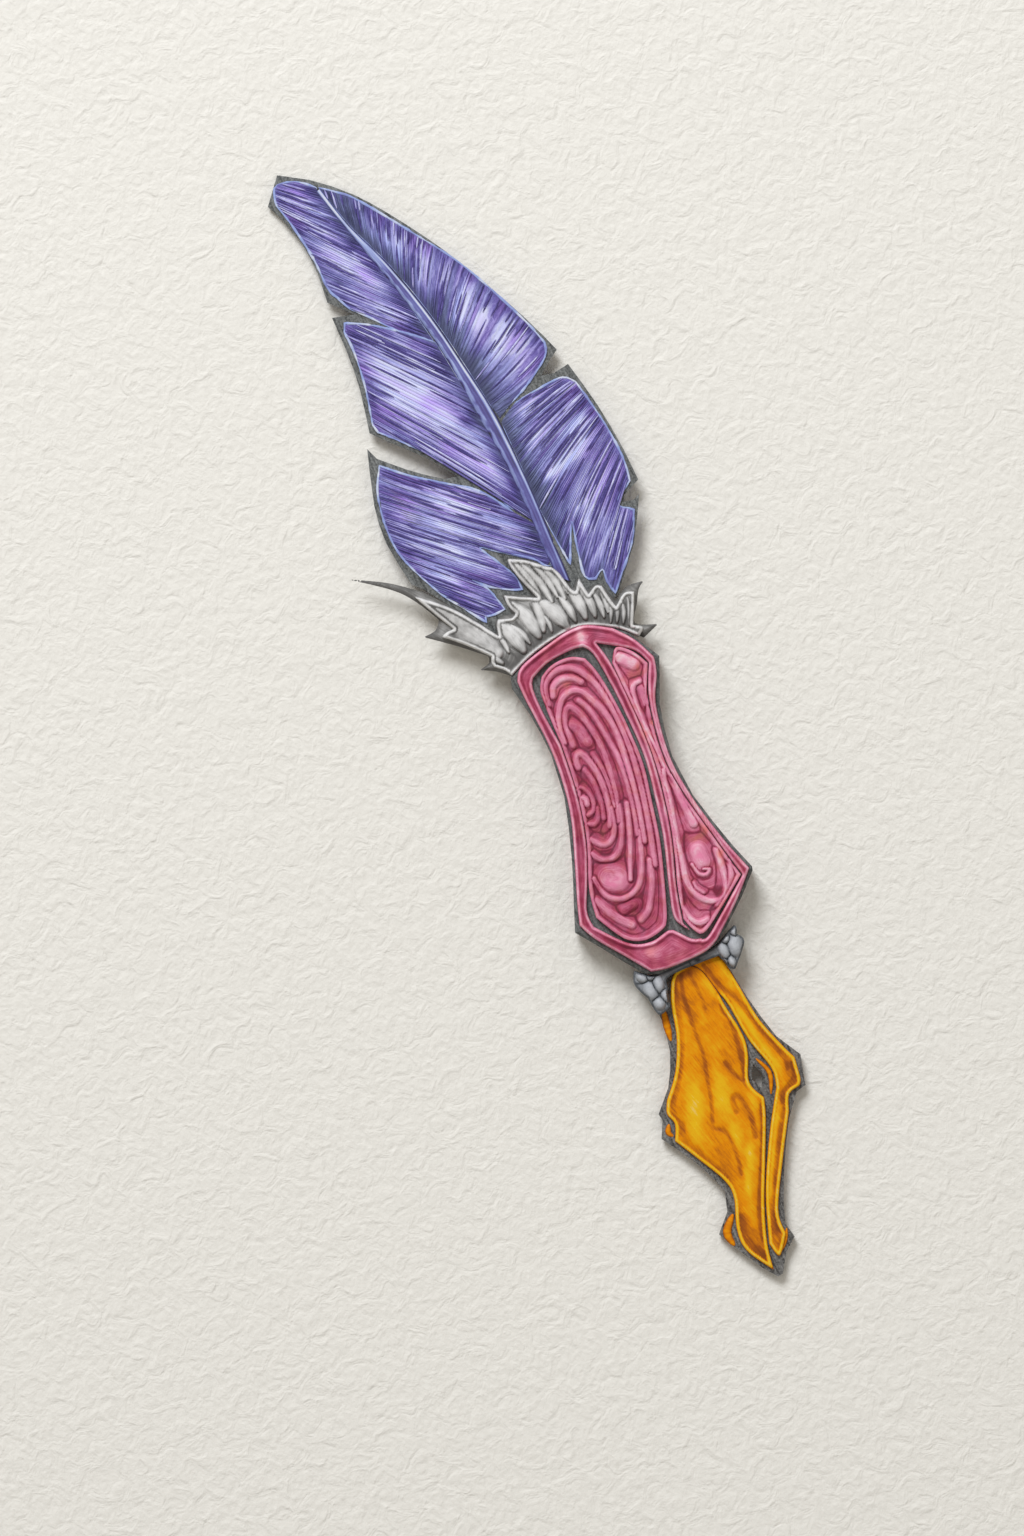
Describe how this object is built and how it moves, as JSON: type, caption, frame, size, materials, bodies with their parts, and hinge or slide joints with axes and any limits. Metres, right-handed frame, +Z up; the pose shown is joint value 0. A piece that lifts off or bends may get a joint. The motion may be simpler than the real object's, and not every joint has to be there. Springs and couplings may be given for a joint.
{
  "type": "feather quill pen",
  "caption": "Quill pen lying flat: violet feather with split vanes, white down ruff, carved rose grip, pebbled grey ferrule and amber leaf nib.",
  "frame": {"origin": "the point on the table below the middle of the quill's box", "axes": "+Y along the quill from its nib to its feather tip, +X to the right seen from above, +Z up from the table"},
  "size_m": [0.052, 0.206, 0.0074],
  "materials": {
    "feather": "matt violet feather vane with fine barbs and paler edges",
    "down": "soft white and grey down, dark at its base and spikes",
    "grip_core": "dark grey matt core that shows as outline and groove",
    "frame": "carved rose-stained wood with pale worn edges, matt",
    "left_panel": "carved crimson-stained loops with pale crests, matt",
    "right_panel": "carved rose-stained scrolls with pale crests, matt",
    "ferrule": "satin grey pebbled collar with dark joints",
    "nib_plate": "dark satin plate with amber slivers at its thorns",
    "nib_leaf": "amber and yellow enamel leaf with brown folds, satin"
  },
  "bodies": {
    "root": {"feather": "feather", "down_ruff": "down", "grip_core": "grip_core", "grip_frame_front": "frame", "grip_frame_back": "frame", "left_panel_front": "left_panel", "left_panel_back": "left_panel", "right_panel_front": "right_panel", "right_panel_back": "right_panel", "ferrule": "ferrule", "nib_plate": "nib_plate", "nib_left_leaf_front": "nib_leaf", "nib_left_leaf_back": "nib_leaf", "nib_right_leaf_front": "nib_leaf", "nib_right_leaf_back": "nib_leaf"}
  },
  "joints": []
}
